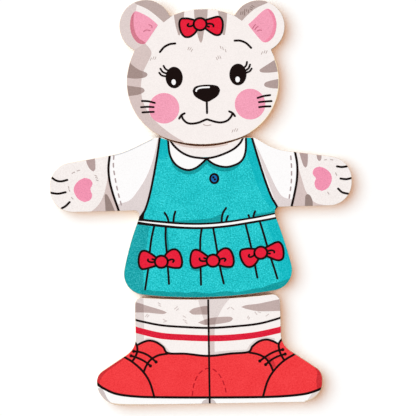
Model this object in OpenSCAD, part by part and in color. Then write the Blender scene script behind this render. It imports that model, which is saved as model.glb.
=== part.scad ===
// Wooden dress-up puzzle: a doll of three flat plywood pieces that nest edge to edge on a table.
// The head's chin drops into the torso's neck notch, and the skirt's hem into the top of the legs.
// Each piece is five birch plies glued crosswise, with a printed sheet on its face.
// X runs to the doll's right-hand side as seen, Y towards its head, Z up from the table.

/* [Boards] */
// Thickness of one birch ply
ply_t = 1.2; // [0.8:0.1:2]
// Thickness of the printed sheet
print_t = 0.2; // [0.1:0.05:0.5]
// Bare wood left round the print
print_rim = 0.1; // [0.05:0.05:1]
// Gap between nested edges on the centre line
seat_gap = 0.8; // [0.6:0.1:2]
// Gap between the chin's arc and the shoulders
shoulder_gap = 0.4; // [0.3:0.05:0.8]
// Gap between the hem's arc and the legs' upper corners
hip_gap = 1.4; // [0.3:0.05:2]

/* [Head] */
// Diameter of the disc that the head is drawn from
head_d = 61.6; // [54:0.1:70]
// Offset of that disc from the centre line
head_x = -0.2; // [-1:0.1:1]
// Height from chin to crown
head_h = 54.2; // [48:0.1:60]
// Radius of the chin's arc
chin_r = 44; // [40:1:70]
// Radius of the rounded cheeks
cheek_r = 24; // [16:0.5:26]
// Diameter of the ears
ear_d = 21; // [16:0.2:26]
// Distance between the ears' centres
ear_spread = 45.2; // [38:0.1:52]
// Height of the left ear's centre above the chin
left_ear_h = 47.9; // [42:0.1:50]
// Height of the right ear's centre above the chin
right_ear_h = 46.6; // [42:0.1:50]
// Inner radius where an ear meets the head
ear_nook_r = 0.5; // [0.2:0.1:2]

/* [Torso] */
// Height of the chin above the origin
chin_y = 23.5; // [20:0.1:28]
// Width over which the neck notch follows the chin
neck_w = 32; // [26:0.5:36]
// Distance between the two shoulder tips
shoulder_w = 39.8; // [38:0.2:46]
// Rise of the left shoulder tip above the chin
left_shoulder_rise = 3.3; // [1.6:0.1:4]
// Rise of the right shoulder tip above the chin
right_shoulder_rise = 2.2; // [1.6:0.1:4]
// Radius of the shoulder tips
shoulder_r = 1.2; // [0.5:0.1:2]
// Distance of the left sleeve's bend from the centre line
left_bend_x = 33.5; // [26:0.5:38]
// Distance of the right sleeve's bend from the centre line
right_bend_x = 28; // [26:0.5:38]
// Height of the sleeves' bends
bend_y = 20.7; // [19:0.1:22]
// Radius of the sleeves' bends
bend_r = 34; // [15:1:60]
// Reach of the left paw from the centre line
left_reach = 62.5; // [52:0.5:72]
// Reach of the right paw from the centre line
right_reach = 58.3; // [52:0.5:72]
// Height of the paws' upper corners
paw_top_y = 16.2; // [14:0.1:19]
// Height of the arms' underside
arm_base_y = -2.3; // [-4:0.1:0]
// Radius of the paws' corners
paw_r = 9.2; // [4:0.2:10]
// Inner radius under the arms
pit_r = 1.2; // [0.5:0.1:2.5]
// Width of the waist
waist_w = 54.6; // [48:0.2:60]
// Height of the waist
waist_y = -5.5; // [-9:0.1:-5]
// Width of the skirt at the hem, before its corners are rounded
hem_w = 70.4; // [64:0.2:80]
// Height of the hem's lowest point
hem_y = -37.7; // [-44:0.05:-33]
// Offset of the hem's lowest point from the centre line
hem_x = -1.5; // [-4:0.1:4]
// Radius of the hem's arc
hem_r = 190; // [120:1:340]
// Radius of the hem's corners
hem_corner_r = 8.4; // [3:0.2:12]
// Bow of the skirt's left side
left_skirt_bow = 1; // [0:0.1:2]
// Bow of the skirt's right side
right_skirt_bow = 0.6; // [0:0.1:2]

/* [Legs] */
// Width of the two legs together
leg_w = 58.2; // [50:0.2:64]
// Offset of the legs from the centre line
legs_x = -0.7; // [-2:0.1:2]
// Radius of the legs' upper corners
leg_corner_r = 3; // [1:0.1:4]
// Height of the ankles, where the shoes spread
ankle_y = -57.5; // [-62:0.1:-50]
// Inner radius at the ankles
ankle_r = 8; // [3:0.2:12]
// Length of the two shoes from toe to toe
shoe_w = 90.2; // [80:0.2:100]
// Height of the left toe's centre
left_toe_y = -70.4; // [-73:0.1:-68]
// Height of the right toe's centre
right_toe_y = -71.2; // [-73:0.1:-68]
// Radius of the toes
toe_r = 5; // [2:0.1:6]
// Height of the left sole
left_sole_y = -80; // [-86:0.1:-78]
// Height of the right sole
right_sole_y = -80.6; // [-86:0.1:-78]
// Radius of the left sole's end
left_sole_r = 9.4; // [5:0.2:10]
// Radius of the right sole's end
right_sole_r = 8; // [5:0.2:10]

/* [Hidden] */

// Places of the five plies in the stack, counted from the table
back_level = 0;
lower_cross_level = 1;
core_level = 2;
upper_cross_level = 3;
face_level = 4;
ply_count = 5;

// Largest distance between a drawn arc and its chords
chord_error = 0.02;

// Colours of the veneers and of the ground of each print
long_grain = "burlywood";
cross_grain = "peru";
fur_white = "linen";
dress_teal = "darkturquoise";
shoe_red = "tomato";

// Rise of an arc of radius r at a distance w from its lowest point
function sag(r, w) = r - sqrt(r * r - w * w);

// Radius of the arc that rises by s at a distance w from its lowest point
function arc_radius(w, s) = (w * w + s * s) / (2 * s);

// Number of chords that keep a sweep of an arc within the chord error
function chords(r, sweep = 360) = ceil(sweep / (2 * acos(1 - chord_error / r)));

// Arc of the hem from its right end to its left end, hanging below its centre
function hem_arc() = let (
        right = asin((hem_w / 2 - hem_x) / hem_r),
        left = asin((hem_w / 2 + hem_x) / hem_r),
        n = chords(hem_r, right + left)
    ) [for (i = [0 : n]) let (a = right - (right + left) * i / n)
        [hem_x + hem_r * sin(a), hem_y + hem_r * (1 - cos(a))]];

// Points between p and q on a line that bows out by b at its middle, as a parabola
function bow(p, q, b) = let (
        along = q - p,
        out = [-along.y, along.x] / norm(along),
        n = ceil(sqrt(b / chord_error)) + 1
    ) [for (i = [1 : 1 : n - 1]) let (t = i / n) p + along * t + out * 4 * b * t * (1 - t)];

// Arc that rounds the corner q between its neighbours p and s, limited to half of either edge
function corner(p, q, s, r) = let (
        to_p = [p.x - q.x, p.y - q.y],
        to_s = [s.x - q.x, s.y - q.y],
        u = to_p / norm(to_p),
        v = to_s / norm(to_s),
        half = acos(u * v) / 2,
        reach = min(r / tan(half), norm(to_p) / 2, norm(to_s) / 2),
        fit_r = reach * tan(half),
        centre = [q.x, q.y] + (u + v) / norm(u + v) * fit_r / sin(half),
        start = [q.x, q.y] + u * reach - centre,
        from = atan2(start.y, start.x),
        turn = -sign(u.x * v.y - u.y * v.x) * (180 - 2 * half),
        n = chords(fit_r, abs(turn))
    ) [for (i = [0 : n]) let (a = from + turn * i / n) centre + fit_r * [cos(a), sin(a)]];

// Polygon of corners [x, y, radius], each one rounded
function rounded(corners) = let (n = len(corners)) [
    for (i = [0 : n - 1])
        each corner(corners[(i + n - 1) % n], corners[i], corners[(i + 1) % n], corners[i][2])
];

// Corners of one arm, from the shoulder tip round the paw to its underside
function arm(side, shoulder_rise, bend_x, reach) = [
    [side * shoulder_w / 2, chin_y + shoulder_rise, shoulder_r],
    [side * bend_x, bend_y, bend_r],
    [side * reach, paw_top_y, paw_r],
    [side * reach, arm_base_y, paw_r],
];

function reversed(list) = [for (i = [len(list) - 1 : -1 : 0]) list[i]];

// The neck notch is deepest on the centre line and closes up on the chin towards the shoulders
neck_sag = sag(chin_r, neck_w / 2) + seat_gap - shoulder_gap;
neck_r = arc_radius(neck_w / 2, neck_sag);

// The top of the legs takes the hem in the same way
legs_top_sag = sag(hem_r, leg_w / 2) + seat_gap - hip_gap;
legs_top_r = arc_radius(leg_w / 2, legs_top_sag);

module disc(centre, r) {
    translate(centre) circle(r, $fn = chords(r));
}

// Rounds the outward corners of a flat shape
module round_corners(r) {
    offset(r = r, $fn = chords(r)) offset(delta = -r) children();
}

// Rounds the inward corners of a flat shape
module fill_nooks(r) {
    offset(r = -r, $fn = chords(r)) offset(delta = r) children();
}

// A disc trimmed by the chin's arc, with full cheeks and two round ears
module head_outline() {
    fill_nooks(ear_nook_r) {
        round_corners(cheek_r) intersection() {
            disc([head_x, chin_y + head_h - head_d / 2], head_d / 2);
            disc([0, chin_y + chin_r], chin_r);
        }
        disc([-ear_spread / 2, chin_y + left_ear_h], ear_d / 2);
        disc([ear_spread / 2, chin_y + right_ear_h], ear_d / 2);
    }
}

// Two arms in one sweep, from paw to paw
module arms_outline() {
    polygon(rounded(concat(
        arm(1, right_shoulder_rise, right_bend_x, right_reach),
        reversed(arm(-1, left_shoulder_rise, left_bend_x, left_reach))
    )));
}

// A dress that hangs straight from the arms to the waist and flares in two bows to the hem
module dress_outline() {
    hem = hem_arc();
    right_waist = [waist_w / 2, waist_y];
    left_waist = [-waist_w / 2, waist_y];
    round_corners(hem_corner_r) polygon(concat(
        [[waist_w / 2, paw_top_y], right_waist],
        bow(right_waist, hem[0], right_skirt_bow),
        hem,
        bow(hem[len(hem) - 1], left_waist, left_skirt_bow),
        [left_waist, [-waist_w / 2, paw_top_y]]
    ));
}

module torso_outline() {
    difference() {
        fill_nooks(pit_r) {
            arms_outline();
            dress_outline();
        }
        disc([0, chin_y - seat_gap + neck_r], neck_r);
    }
}

// The rounded toe of one shoe, and the lower half of the round at its sole's end
module shoe_end(side, toe_y, sole_y, sole_r) {
    disc([side * (shoe_w / 2 - toe_r), toe_y], toe_r);
    intersection() {
        disc([side * (shoe_w / 2 - sole_r), sole_y + sole_r], sole_r);
        translate([-shoe_w / 2, sole_y]) square([shoe_w, sole_r]);
    }
}

// Both shoes in one outline, heel to heel, rising to the ankles
module shoes_outline() {
    hull() {
        shoe_end(-1, left_toe_y, left_sole_y, left_sole_r);
        shoe_end(1, right_toe_y, right_sole_y, right_sole_r);
        polygon([[leg_w / 2, ankle_y], [-leg_w / 2, ankle_y], [0, left_toe_y]]);
    }
}

module legs_outline() {
    translate([legs_x, 0]) round_corners(leg_corner_r) difference() {
        fill_nooks(ankle_r) {
            shoes_outline();
            translate([-leg_w / 2, ankle_y]) square([leg_w, hem_y - ankle_y + legs_top_sag]);
        }
        disc([0, hem_y - seat_gap + legs_top_r], legs_top_r);
    }
}

// One ply of the flat outline given, at its level in the stack
module ply(level) {
    translate([0, 0, level * ply_t]) linear_extrude(ply_t) children();
}

// The printed sheet on top of the stack, held in from the edge by the bare rim
module print_sheet() {
    translate([0, 0, ply_count * ply_t]) linear_extrude(print_t) offset(delta = -print_rim) children();
}

module head_back_ply() { color(long_grain) ply(back_level) head_outline(); }
module head_lower_cross_ply() { color(cross_grain) ply(lower_cross_level) head_outline(); }
module head_core_ply() { color(long_grain) ply(core_level) head_outline(); }
module head_upper_cross_ply() { color(cross_grain) ply(upper_cross_level) head_outline(); }
module head_face_ply() { color(long_grain) ply(face_level) head_outline(); }
module head_print_sheet() { color(fur_white) print_sheet() head_outline(); }

module torso_back_ply() { color(long_grain) ply(back_level) torso_outline(); }
module torso_lower_cross_ply() { color(cross_grain) ply(lower_cross_level) torso_outline(); }
module torso_core_ply() { color(long_grain) ply(core_level) torso_outline(); }
module torso_upper_cross_ply() { color(cross_grain) ply(upper_cross_level) torso_outline(); }
module torso_face_ply() { color(long_grain) ply(face_level) torso_outline(); }
module torso_print_sheet() { color(dress_teal) print_sheet() torso_outline(); }

module legs_back_ply() { color(long_grain) ply(back_level) legs_outline(); }
module legs_lower_cross_ply() { color(cross_grain) ply(lower_cross_level) legs_outline(); }
module legs_core_ply() { color(long_grain) ply(core_level) legs_outline(); }
module legs_upper_cross_ply() { color(cross_grain) ply(upper_cross_level) legs_outline(); }
module legs_face_ply() { color(long_grain) ply(face_level) legs_outline(); }
module legs_print_sheet() { color(shoe_red) print_sheet() legs_outline(); }

head_back_ply();
head_lower_cross_ply();
head_core_ply();
head_upper_cross_ply();
head_face_ply();
head_print_sheet();
torso_back_ply();
torso_lower_cross_ply();
torso_core_ply();
torso_upper_cross_ply();
torso_face_ply();
torso_print_sheet();
legs_back_ply();
legs_lower_cross_ply();
legs_core_ply();
legs_upper_cross_ply();
legs_face_ply();
legs_print_sheet();
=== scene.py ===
"""A dress-up doll of three printed plywood boards, laid edge to edge and seen from straight above."""

import bmesh
import bpy
import numpy as np
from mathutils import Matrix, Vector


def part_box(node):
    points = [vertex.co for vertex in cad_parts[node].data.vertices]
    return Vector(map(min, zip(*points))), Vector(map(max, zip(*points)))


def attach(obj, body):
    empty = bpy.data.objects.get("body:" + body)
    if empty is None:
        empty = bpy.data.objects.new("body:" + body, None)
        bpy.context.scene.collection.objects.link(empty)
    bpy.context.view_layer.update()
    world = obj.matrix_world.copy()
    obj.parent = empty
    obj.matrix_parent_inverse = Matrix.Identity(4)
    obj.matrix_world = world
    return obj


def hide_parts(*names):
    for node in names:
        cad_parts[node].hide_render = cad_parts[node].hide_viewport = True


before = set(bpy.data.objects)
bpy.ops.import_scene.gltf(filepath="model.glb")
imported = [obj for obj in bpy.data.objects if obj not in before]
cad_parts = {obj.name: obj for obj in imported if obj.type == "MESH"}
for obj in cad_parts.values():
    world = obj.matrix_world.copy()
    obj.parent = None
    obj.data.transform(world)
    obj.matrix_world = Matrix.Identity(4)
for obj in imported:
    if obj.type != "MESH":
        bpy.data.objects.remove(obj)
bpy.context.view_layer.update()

# Plywood boards: the head, the torso and the legs, each of five birch veneers glued with the grain crossed.
# One pass of a fine saw cuts the whole stack, and the outer rims are sanded round by hand,
# so the veneers show on the edge as light and dark bands with fine seams between them.
MM = 0.001  # metres in a millimetre: the lengths in this file are in millimetres
RIM_ROUND = 0.1
SEAM_ROUND = 0.05
ROUND_STEPS = 6
SAME_LEVEL = 0.001
SAME_POINT = 0.00005
CREASE = np.radians(40)
BIRCH_FACE = ((221, 186, 148), (241, 214, 182), (250, 232, 210))
BIRCH_CROSS = ((184, 141, 101), (208, 168, 127), (223, 189, 151))


def cut_line(node):
    """Outline of a flat node in millimetres, anticlockwise from above: the sides that only one triangle
    of its top face has, put in order by jumps that double in length."""
    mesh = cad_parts[node].data
    place = np.empty(3 * len(mesh.vertices), np.float32)
    mesh.vertices.foreach_get("co", place)
    use = np.empty(len(mesh.loops), np.int32)
    mesh.loops.foreach_get("vertex_index", use)
    points, same = np.unique(place.reshape(-1, 3).astype(float).round(7), axis=0, return_inverse=True)
    triangles = same.reshape(-1)[use].reshape(-1, 3)
    top = triangles[(points[triangles, 2] > points[:, 2].max() - SAME_LEVEL * MM).all(1)]
    sides = np.vstack([top[:, [0, 1]], top[:, [1, 2]], top[:, [2, 0]]])
    count = len(points)
    rim = sides[~np.isin(sides[:, 0] * count + sides[:, 1], sides[:, 1] * count + sides[:, 0])]
    after = np.zeros(count, int)
    after[rim[:, 0]] = rim[:, 1]
    order = rim[:1, 0]
    while len(order) < len(rim):
        order = np.concatenate([order, after[order]])
        after = after[after]
    return points[order[:len(rim)], :2] / MM


def carried(loop, insets, heights):
    """Wall carried round a loop: each row is the loop moved inwards by its inset, mitred at the corners,
    at its height, and flat caps close the first and the last row. Gives points in metres and faces."""
    step = np.roll(loop, -1, 0) - loop
    step /= np.linalg.norm(step, axis=1, keepdims=True)
    inward = step[:, ::-1] * (-1, 1)
    mitre = inward + np.roll(inward, 1, 0)
    mitre *= 2 / (mitre ** 2).sum(1, keepdims=True)
    rows, count = len(insets), len(loop)
    flat = loop + np.asarray(insets)[:, None, None] * mitre
    lift = np.broadcast_to(np.asarray(heights)[:, None, None], (rows, count, 1))
    lower = np.arange(rows - 1)[:, None] * count + np.arange(count)
    beside = np.roll(lower, -1, 1)
    quads = np.stack([lower, beside, beside + count, lower + count], -1).reshape(-1, 4).tolist()
    caps = [list(range(count))[::-1], list(range((rows - 1) * count, rows * count))]
    return np.concatenate([flat, lift], 2).reshape(-1, 3) * MM, quads + caps


def made(name, points, faces, material, smooth):
    """Mesh object from points and faces, its doubles merged, with one material. A smooth one is smooth on
    its strips, and flat on the caps that have more than four corners."""
    mesh = bpy.data.meshes.new(name)
    mesh.from_pydata(points.tolist(), [], faces)
    work = bmesh.new()
    work.from_mesh(mesh)
    bmesh.ops.remove_doubles(work, verts=work.verts, dist=SAME_POINT * MM)
    work.to_mesh(mesh)
    work.free()
    if smooth:
        mesh.set_sharp_from_angle(angle=CREASE)
    mesh.polygons.foreach_set("use_smooth", [smooth and face.loop_total < 5 for face in mesh.polygons])
    mesh.materials.append(material)
    piece = bpy.data.objects.new(name, mesh)
    bpy.context.scene.collection.objects.link(piece)
    return piece


def tint(colour, factor=1.0, lift=0.0):
    """Screen colour of 0 to 255 as a linear colour: the standard curve, times the factor, plus the lift."""
    part = np.array(colour) / 255
    part = np.where(part <= 0.04045, part / 12.92, ((part + 0.055) / 1.055) ** 2.4)
    return (*np.clip(part * factor + lift, 0, 1).tolist(), 1.0)


def join(tree, value, socket):
    """Gives a shader input its value: a link where the value is a socket, or else a constant of its own."""
    if isinstance(value, bpy.types.NodeSocket):
        tree.links.new(value, socket)
    else:
        socket.default_value = value


def fed(tree, node, **values):
    """Shader node with its values: each goes to the input of that name, or else to the node's setting."""
    for key, value in values.items():
        socket = node.inputs.get(key.replace("_", " "))
        if socket:
            join(tree, value, socket)
        else:
            setattr(node, key, value)
    return node


def put(tree, kind, **values):
    """New shader node of a kind, fed its values."""
    return fed(tree, tree.nodes.new("ShaderNode" + kind), **values)


def reckoned(tree, operation, *values):
    """Result of the operation on the values, in their order."""
    node = put(tree, "Math", operation=operation)
    for value, socket in zip(values, node.inputs):
        join(tree, value, socket)
    return node.outputs[0]


def ramp(tree, source, stops):
    """Colour ramp over a source: stops are pairs of place and linear colour."""
    node = put(tree, "ValToRGB", Fac=source)
    band = node.color_ramp.elements
    while len(band) < len(stops):
        band.new(0.5)
    for element, (place, colour) in zip(band, stops):
        element.position = place
        element.color = colour
    return node.outputs["Color"]


FIGURE = (22, 520)  # noise scales per metre, along the grain and across it
PORES = (150, 3200)
PORE_SHARE = 0.45
PORE_DEPTH = 0.06
BIRCH_GLOSS = 0.3


def birch(name, tones, along):
    """Birch veneer: the figure is a noise drawn out along the grain, and a share of a finer one, the pores,
    is added to it. The sum goes from the dark tone to the light one, and also raises the surface."""
    material = bpy.data.materials.new(name)
    material.use_nodes = True
    tree = material.node_tree
    where = put(tree, "TexCoord").outputs["Object"]
    figure = put(tree, "Mapping", Vector=where, Scale=np.where(along, *FIGURE)).outputs[0]
    pores = put(tree, "Mapping", Vector=where, Scale=np.where(along, *PORES)).outputs[0]
    band = put(tree, "TexNoise", Vector=figure, Scale=1, Detail=5, Roughness=0.62, Distortion=0.4).outputs[0]
    fine = put(tree, "TexNoise", Vector=pores, Scale=1, Detail=3, Roughness=0.6).outputs[0]
    both = reckoned(tree, "MULTIPLY_ADD", fine, PORE_SHARE, band)
    dark, middle, light = (tint(tone) for tone in tones)
    colour = ramp(tree, both, [(0.5, dark), (0.72, middle), (0.95, light)])
    rough = put(tree, "MapRange", Value=fine, From_Min=0.3, From_Max=0.7, To_Min=0.5, To_Max=0.68)
    bump = put(tree, "Bump", Height=both, Strength=0.3, Distance=PORE_DEPTH * MM)
    fed(tree, tree.nodes["Principled BSDF"], Base_Color=colour, Roughness=rough.outputs[0],
        Normal=bump.outputs[0], Specular_IOR_Level=BIRCH_GLOSS)
    return material


ALONG_FACE = np.array([False, True, False])
ALONG_CROSS = np.array([True, False, False])
face_birch = birch("birch_long_grain", BIRCH_FACE, ALONG_FACE)
cross_birch = birch("birch_cross_grain", BIRCH_CROSS, ALONG_CROSS)


def veneer(body, layer, material, low_round, high_round):
    """One veneer: a quarter round at the lower rim, the straight saw cut, and one at the upper rim."""
    node = f"{body}_{layer}"
    low, high = (corner.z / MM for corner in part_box(node))
    turn = np.linspace(0, np.pi / 2, ROUND_STEPS)
    insets = np.concatenate([low_round * (1 - np.sin(turn)), high_round * (1 - np.cos(turn))])
    heights = np.concatenate([low + low_round * (1 - np.cos(turn)), high - high_round * (1 - np.sin(turn))])
    piece = made(f"{node}_veneer", *carried(cut_line(node), insets, heights), material, True)
    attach(piece, body)
    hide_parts(node)


for body in ("head", "torso", "legs"):
    veneer(body, "back_ply", face_birch, RIM_ROUND, SEAM_ROUND)
    veneer(body, "lower_cross_ply", cross_birch, SEAM_ROUND, SEAM_ROUND)
    veneer(body, "core_ply", face_birch, SEAM_ROUND, SEAM_ROUND)
    veneer(body, "upper_cross_ply", cross_birch, SEAM_ROUND, SEAM_ROUND)
    veneer(body, "face_ply", face_birch, SEAM_ROUND, RIM_ROUND)

# Printed sheets: one thin coated paper on the face of each board, glued down before the saw cut.
# Sanding the rim takes the paper back from the edge, so a hair of bare birch shows all round.
SHEET_ROUND = 0.06
SHEET_STEPS = 4
PAPER_GRAIN = 0.018
SPECKLE = 1900  # noise scales per metre
DRIFT = 150
DRIFT_SHARE = 0.15
TOOTH = 0.02
INK_GLOSS = 0.05
HEAD_GROUND = (248, 240, 237)
TORSO_GROUND = (254, 252, 252)
LEGS_GROUND = (249, 242, 239)


def ink(name, colour, grain):
    """Printed colour: a fine speckle and a share of a slower drift, each a noise, are added up. Three times
    the grain darkens the low places and lightens the high ones, where white paper shows through a little."""
    material = bpy.data.materials.new(name)
    material.use_nodes = True
    tree = material.node_tree
    where = put(tree, "TexCoord").outputs["Object"]
    speckle = put(tree, "TexNoise", Vector=where, Scale=SPECKLE, Detail=3, Roughness=0.75).outputs[0]
    drift = put(tree, "TexNoise", Vector=where, Scale=DRIFT, Detail=2).outputs[0]
    both = reckoned(tree, "MULTIPLY_ADD", drift, DRIFT_SHARE, speckle)
    swing, show = 3 * grain, 0.5 * grain
    stops = [(0.35, tint(colour, 1 - swing, -show)), (0.575, tint(colour)),
             (0.8, tint(colour, 1 + swing, show))]
    rough = put(tree, "MapRange", Value=speckle, From_Min=0.3, From_Max=0.7, To_Min=0.5, To_Max=0.64)
    bump = put(tree, "Bump", Height=speckle, Strength=0.12, Distance=TOOTH * MM)
    fed(tree, tree.nodes["Principled BSDF"], Base_Color=ramp(tree, both, stops), Roughness=rough.outputs[0],
        Normal=bump.outputs[0], Specular_IOR_Level=INK_GLOSS)
    return material


def sheet(body, colour):
    """The paper of one board: a straight cut with a soft upper rim."""
    node = f"{body}_print_sheet"
    low, high = (corner.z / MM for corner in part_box(node))
    turn = np.linspace(0, np.pi / 2, SHEET_STEPS)
    insets = np.concatenate([[0], SHEET_ROUND * (1 - np.cos(turn))])
    heights = np.concatenate([[low], high - SHEET_ROUND * (1 - np.sin(turn))])
    paper = ink(f"{body}_paper", colour, PAPER_GRAIN)
    piece = made(f"{body}_paper", *carried(cut_line(node), insets, heights), paper, True)
    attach(piece, body)
    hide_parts(node)


sheet("head", HEAD_GROUND)
sheet("torso", TORSO_GROUND)
sheet("legs", LEGS_GROUND)

# Print on the head: a kitten's face on pale fur, with striped cheeks, pink ears and a red bow.
# Each ink is a flat film of one colour on the paper, laid over the ones printed before it and trimmed
# where the paper ends. One film on the right has the colour of the bare birch that shows at the rim.
FILM = 0.012
LAP = 0.0003
INK_GRAIN = 0.03
PINK_GRAIN = 0.05
FUR_SHADE = (215, 196, 192)
EAR_SHADE = (224, 208, 205)
STRIPE = (190, 170, 165)
CHEEK_STRIPE = (177, 156, 152)
STRIPE_SHADE = (165, 143, 137)
PINK = (246, 161, 185)
PINK_SHADE = (213, 124, 142)
PINK_TICK = (201, 110, 133)
PINK_DEEP = (241, 141, 168)
RIM_BIRCH = (246, 222, 187)
BOW_RED = (232, 29, 57)
LINE = (21, 5, 3)
LINE_GRAIN = 0.006
GLINT = (254, 252, 252)
TICK = (192, 177, 173)
EAR_TICK = (136, 114, 108)


def curve(*knots, n=48):
    """Smooth line through the knots, in n points: between two knots a cubic, whose slope at a knot
    follows the knots on either side."""
    p = np.array(knots, float)
    p = np.vstack([2 * p[0] - p[1], p, 2 * p[-1] - p[-2]])
    along = np.linspace(0, len(knots) - 1, n)
    k = np.minimum(along.astype(int), len(knots) - 2)
    t = (along - k)[:, None]
    a, b, c, d = p[k], p[k + 1], p[k + 2], p[k + 3]
    return b + 0.5 * t * (c - a + t * (2 * a - 5 * b + 4 * c - d + t * (3 * (b - c) + d - a)))


def pen(path, width=0.88):
    """Pen line along a path: half the width to either side, with round ends."""
    along = np.gradient(path, axis=0)
    along /= np.linalg.norm(along, axis=1, keepdims=True)
    cap = np.radians([84, 60, 30])
    reach = width / 2 * np.sin(cap)[:, None]
    mid = np.vstack([path[0] - along[0] * reach, path, path[-1] + along[-1] * reach[::-1]])
    side = np.vstack([[along[0]] * 3, along, [along[-1]] * 3])[:, ::-1] * (-1, 1)
    half = width / 2 * np.concatenate([np.cos(cap), np.ones(len(path)), np.cos(cap[::-1])])[:, None]
    return mid + side * half, mid - side * half


def line(*knots, width=0.84):
    """Pen line along the smooth line through the knots, with ten points for each knot."""
    return pen(curve(*knots, n=10 * len(knots)), width)


def dashes(path, width, dash, gap, first=0.3):
    """Stitches along a path: pen lines of one length at even steps of its arc length, from the first on."""
    run = np.concatenate([[0], np.cumsum(np.linalg.norm(np.diff(path, axis=0), axis=1))])
    starts = np.arange(first, run[-1] - dash, dash + gap)
    places = starts[:, None] + np.linspace(0, dash, 5)
    return [pen(np.column_stack([np.interp(s, run, path[:, 0]), np.interp(s, run, path[:, 1])]), width)
            for s in places]


def oval(x, y, rx, ry, lean=0):
    """Leaning oval: its left and right halves from top to bottom."""
    t = np.linspace(0, np.pi, 28)
    turn = np.radians(lean)
    axes = np.array([[np.cos(turn), np.sin(turn)], [-np.sin(turn), np.cos(turn)]])
    left = np.column_stack([-rx * np.sin(t), ry * np.cos(t)])
    return left @ axes + (x, y), (left * (-1, 1)) @ axes + (x, y)


def trimmed(points, loop):
    """Points outside a loop go to the nearest place on it; the ones inside stay."""
    side = np.roll(loop, -1, 0) - loop
    off = points[:, None] - loop
    t = np.clip((off * side).sum(2) / (side ** 2).sum(1), 0, 1)
    near = loop + t[..., None] * side
    best = ((points[:, None] - near) ** 2).sum(2).argmin(1)
    spans = (off[..., 1] < 0) != (off[..., 1] < side[:, 1])
    rise = np.where(side[:, 1] == 0, 1, side[:, 1])
    left = off[..., 0] < off[..., 1] / rise * side[:, 0]
    inside = (spans & left).sum(1) % 2 == 1
    return np.where(inside[:, None], points, near[np.arange(len(points)), best])


def to_edge(inner, centre, loop):
    """Patch from an inner line out to a loop: each point goes along the ray from a centre through it,
    to the nearest side of the loop that the ray meets."""
    parallel, slack, behind = 1e-12, 1e-9, 0.01
    inner = trimmed(inner, loop)
    ray = (inner - centre)[:, None]
    side = np.roll(loop, -1, 0) - loop
    off = loop - inner[:, None]
    cross = ray[..., 0] * side[:, 1] - ray[..., 1] * side[:, 0]
    cross = np.where(abs(cross) < parallel, parallel, cross)
    reach = (off[..., 0] * side[:, 1] - off[..., 1] * side[:, 0]) / cross
    place = (off[..., 0] * ray[..., 1] - off[..., 1] * ray[..., 0]) / cross
    meets = (place >= -slack) & (place <= 1 + slack) & (reach > -behind)
    reach = np.where(meets, reach, np.inf).min(1)
    return inner, inner + np.where(np.isfinite(reach), reach, 0)[:, None] * ray[:, 0]


def films(patches, low, high):
    """Flat closed films, each ruled between the two edges of its patch, from one height to another.
    Each is a hair above the one before it, so that films that lap don't meet in one plane."""
    points, faces, base = [], [], 0
    for k, (a, b) in enumerate(patches):
        ring = np.vstack([a, b[::-1]])
        after = np.roll(ring, -1, 0)
        if (ring[:, 0] * after[:, 1] - ring[:, 1] * after[:, 0]).sum() < 0:
            a, b = b, a
        m = len(a)
        flat = np.vstack([a, b, a, b])
        points.append(np.column_stack([flat, np.repeat([high, low], 2 * m) + k * LAP]))
        i, d = np.arange(m - 1), 2 * m
        faces.append(base + np.vstack([
            np.column_stack([i, i + 1, m + i + 1, m + i]),
            np.column_stack([m + i, m + i + 1, i + 1, i]) + d,
            np.column_stack([i + d, i + 1 + d, i + 1, i]),
            np.column_stack([m + i + 1 + d, m + i + d, m + i, m + i + 1]),
            [[m + d, d, 0, m], [m - 1 + d, d - 1 + d, d - 1, m - 1]]]))
        base += 4 * m
    return np.vstack(points) * MM, np.vstack(faces).tolist()


def printed(name, order, colour, *patches, grain=INK_GRAIN):
    """One ink on one board, named for the board first: its patches, trimmed to the paper, as films whose
    height over the paper is the ink's place in the order of printing."""
    body = name.split("_")[0]
    node = f"{body}_print_sheet"
    loop = cut_line(node)
    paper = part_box(node)[1].z / MM
    listed = [p for group in patches for p in (group if isinstance(group, list) else [group])]
    cut = [(trimmed(a, loop), trimmed(b, loop)) for a, b in listed]
    points, faces = films(cut, paper - FILM, paper + order * FILM)
    piece = made(f"{name}_ink", points, faces, ink(name, colour, grain), False)
    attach(piece, body)


def ticks(*places, lean, long=1.1, slant=0, apart=0.7, width=0.3):
    """Fur ticks: three short pen lines side by side at each place. Each starts further along than the one
    to its left by the slant, as a share of its length, and the middle one is set forward a little."""
    way = np.array([np.cos(np.radians(lean)), np.sin(np.radians(lean))]) * long
    aside = way[::-1] * (-apart, apart)
    return [pen(np.array(place) + shift * aside + (np.linspace(-0.5, 0.5, 5)[:, None] + ahead) * way, width)
            for place in places for shift, ahead in ((-1, slant), (0, 0.25), (1, -slant))]


KNOT_SET = (0.15, -0.1)
KNOT_ROUND = (2.58, 2.42)
LOOP_HALF = 48  # points from the knot to a loop's far end


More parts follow.
